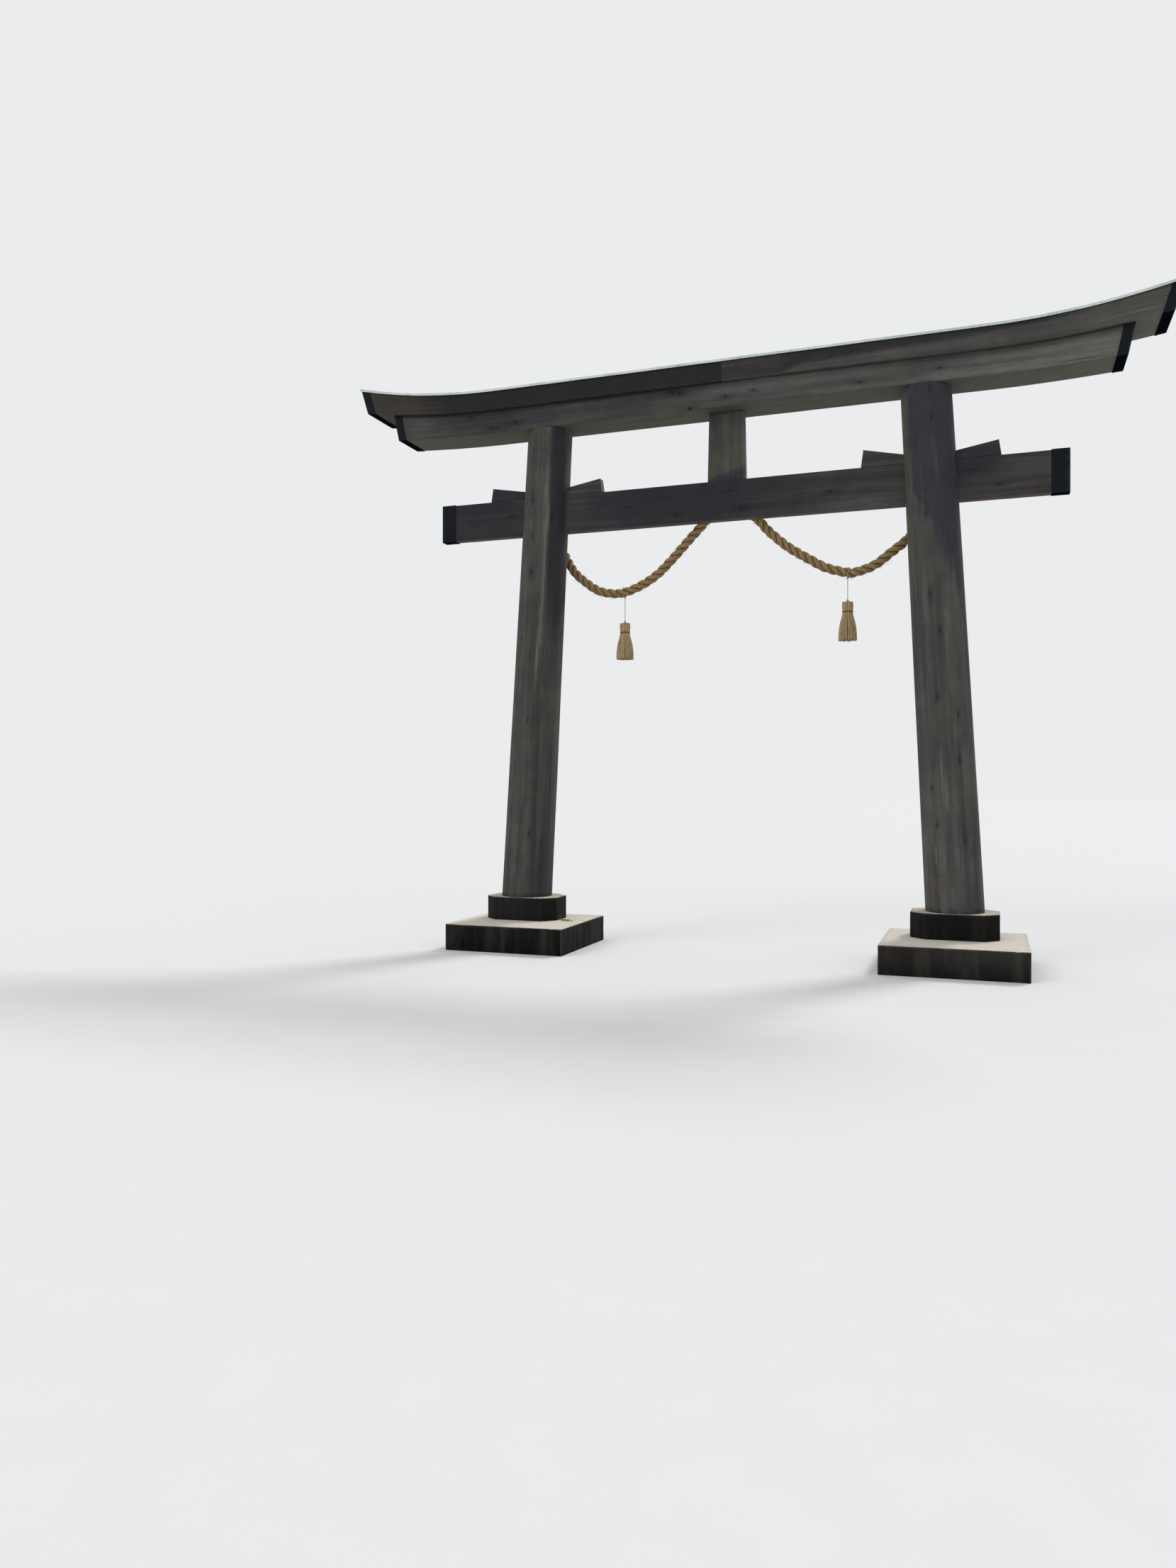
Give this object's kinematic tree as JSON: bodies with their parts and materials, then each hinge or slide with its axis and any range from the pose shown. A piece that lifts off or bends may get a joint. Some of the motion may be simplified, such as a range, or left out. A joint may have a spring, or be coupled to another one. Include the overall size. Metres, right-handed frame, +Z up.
{
  "type": "torii gate",
  "caption": "Timber torii gate: leaning round posts on stone blocks, wedged tie beam, centre strut, upswept lintels with metal caps and roof sheet, and a straw rope with tassels.",
  "frame": {"origin": "on the ground, midway between the posts", "axes": "+X along the gate, from the left post to the right one as seen from the front; -Y towards the front, where the rope hangs behind the tie beam; +Z up"},
  "size_m": [9.7158, 1.53, 7.3151],
  "materials": {
    "weathered_timber": "bare, weathered grey-brown",
    "wedge_timber": "bare, a little newer than the beams",
    "dark_sheet_metal": "oxidised dark sheet, satin",
    "roof_sheet_metal": "pale green-grey patina, matt",
    "base_stone": "dark grey stone, dressed",
    "slab_concrete": "pale concrete, dirty edges",
    "rice_straw": "twisted dry straw",
    "hook_iron": "dark forged iron"
  },
  "bodies": {
    "root": {"slab_left": "slab_concrete", "slab_right": "slab_concrete", "base_block_left": "base_stone", "base_block_right": "base_stone", "post_left": "weathered_timber", "post_right": "weathered_timber", "tie_beam": "weathered_timber", "tie_cap_left": "dark_sheet_metal", "tie_cap_right": "dark_sheet_metal", "wedge_left_outer": "wedge_timber", "wedge_left_inner": "wedge_timber", "wedge_right_inner": "wedge_timber", "wedge_right_outer": "wedge_timber", "strut": "weathered_timber", "lower_lintel": "weathered_timber", "lower_cap_left": "dark_sheet_metal", "lower_cap_right": "dark_sheet_metal", "upper_lintel_left": "weathered_timber", "upper_lintel_right": "weathered_timber", "upper_cap_left": "dark_sheet_metal", "upper_cap_right": "dark_sheet_metal", "roof_sheet_left": "roof_sheet_metal", "roof_sheet_middle": "roof_sheet_metal", "roof_sheet_right": "roof_sheet_metal", "straw_rope": "rice_straw", "rope_eye_left": "rice_straw", "rope_eye_right": "rice_straw", "rope_hook_left": "hook_iron", "rope_hook_middle": "hook_iron", "rope_hook_right": "hook_iron", "tassel_string_left": "rice_straw", "tassel_string_right": "rice_straw", "tassel_left": "rice_straw", "tassel_right": "rice_straw"}
  },
  "joints": []
}
